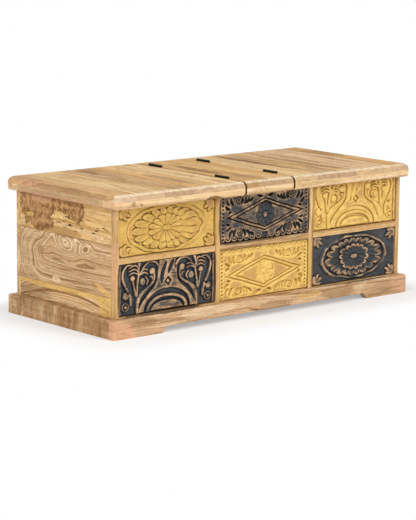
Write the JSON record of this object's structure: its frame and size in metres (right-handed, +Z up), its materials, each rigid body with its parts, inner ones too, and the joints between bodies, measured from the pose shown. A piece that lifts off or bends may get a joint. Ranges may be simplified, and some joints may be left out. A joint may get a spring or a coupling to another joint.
{
  "type": "trunk coffee table",
  "caption": "Low wooden storage chest used as a coffee table, with carved painted front panels in a frame, a footed plinth and a thick top whose outer lids hinge on a fixed middle strip.",
  "frame": {"origin": "on the floor, under the middle of the chest", "axes": "+X along the front towards the right end as seen from the front, +Y from front to back, +Z up"},
  "size_m": [1.002, 0.45, 0.3563],
  "materials": {
    "top_wood": "satin, waxed",
    "wall_wood": "satin, waxed",
    "plinth_wood": "satin, waxed",
    "inner_wood": "bare, sanded",
    "ochre_paint": "carved, worn ochre paint",
    "black_paint": "carved, worn black paint",
    "iron": "blackened, worn"
  },
  "bodies": {
    "carcass": {"bottom_cleats": "inner_wood", "bottom_panel": "inner_wood", "centre_bearers": "top_wood", "centre_board_1": "top_wood", "centre_board_2": "top_wood", "centre_strip_front": "top_wood", "centre_strip_rear": "top_wood", "corner_blocks": "inner_wood", "frame_bottom_rail": "wall_wood", "frame_mullion_left": "wall_wood", "frame_mullion_right": "wall_wood", "frame_rail_centre": "wall_wood", "frame_rail_left": "wall_wood", "frame_rail_right": "wall_wood", "frame_stile_left": "wall_wood", "frame_stile_right": "wall_wood", "front_backing": "inner_wood", "hinge_leaves_fixed": "iron", "hinge_pins": "iron", "left_board_lower": "wall_wood", "left_board_middle": "wall_wood", "left_board_upper": "wall_wood", "panel_lower_centre": "ochre_paint", "panel_lower_left": "black_paint", "panel_lower_right": "black_paint", "panel_upper_centre": "black_paint", "panel_upper_left": "ochre_paint", "panel_upper_right": "ochre_paint", "plinth_front": "plinth_wood", "plinth_left": "plinth_wood", "plinth_rear": "plinth_wood", "plinth_right": "plinth_wood", "rear_board_lower": "wall_wood", "rear_board_middle": "wall_wood", "rear_board_upper": "wall_wood", "right_board_lower": "wall_wood", "right_board_middle": "wall_wood", "right_board_upper": "wall_wood"},
    "lid_left": {"hinge_leaves_left": "iron", "lid_left_batten": "top_wood", "lid_left_board_1": "top_wood", "lid_left_board_2": "top_wood", "lid_left_board_3": "top_wood", "lid_left_board_4": "top_wood", "lid_left_board_5": "top_wood", "lid_left_strip_end": "top_wood", "lid_left_strip_front": "top_wood", "lid_left_strip_rear": "top_wood"},
    "lid_right": {"hinge_leaves_right": "iron", "lid_right_batten": "top_wood", "lid_right_board_1": "top_wood", "lid_right_board_2": "top_wood", "lid_right_board_3": "top_wood", "lid_right_board_4": "top_wood", "lid_right_strip_end": "top_wood", "lid_right_strip_front": "top_wood", "lid_right_strip_rear": "top_wood"}
  },
  "joints": [
    {"name": "left_lid_hinge", "type": "hinge", "parent": "carcass", "child": "lid_left", "pos_m": [-0.087, 0, 0.353], "axis": [0, 1, 0], "range_deg": [0, 100]},
    {"name": "right_lid_hinge", "type": "hinge", "parent": "carcass", "child": "lid_right", "pos_m": [0.077, 0, 0.353], "axis": [0, -1, 0], "range_deg": [0, 100]}
  ]
}
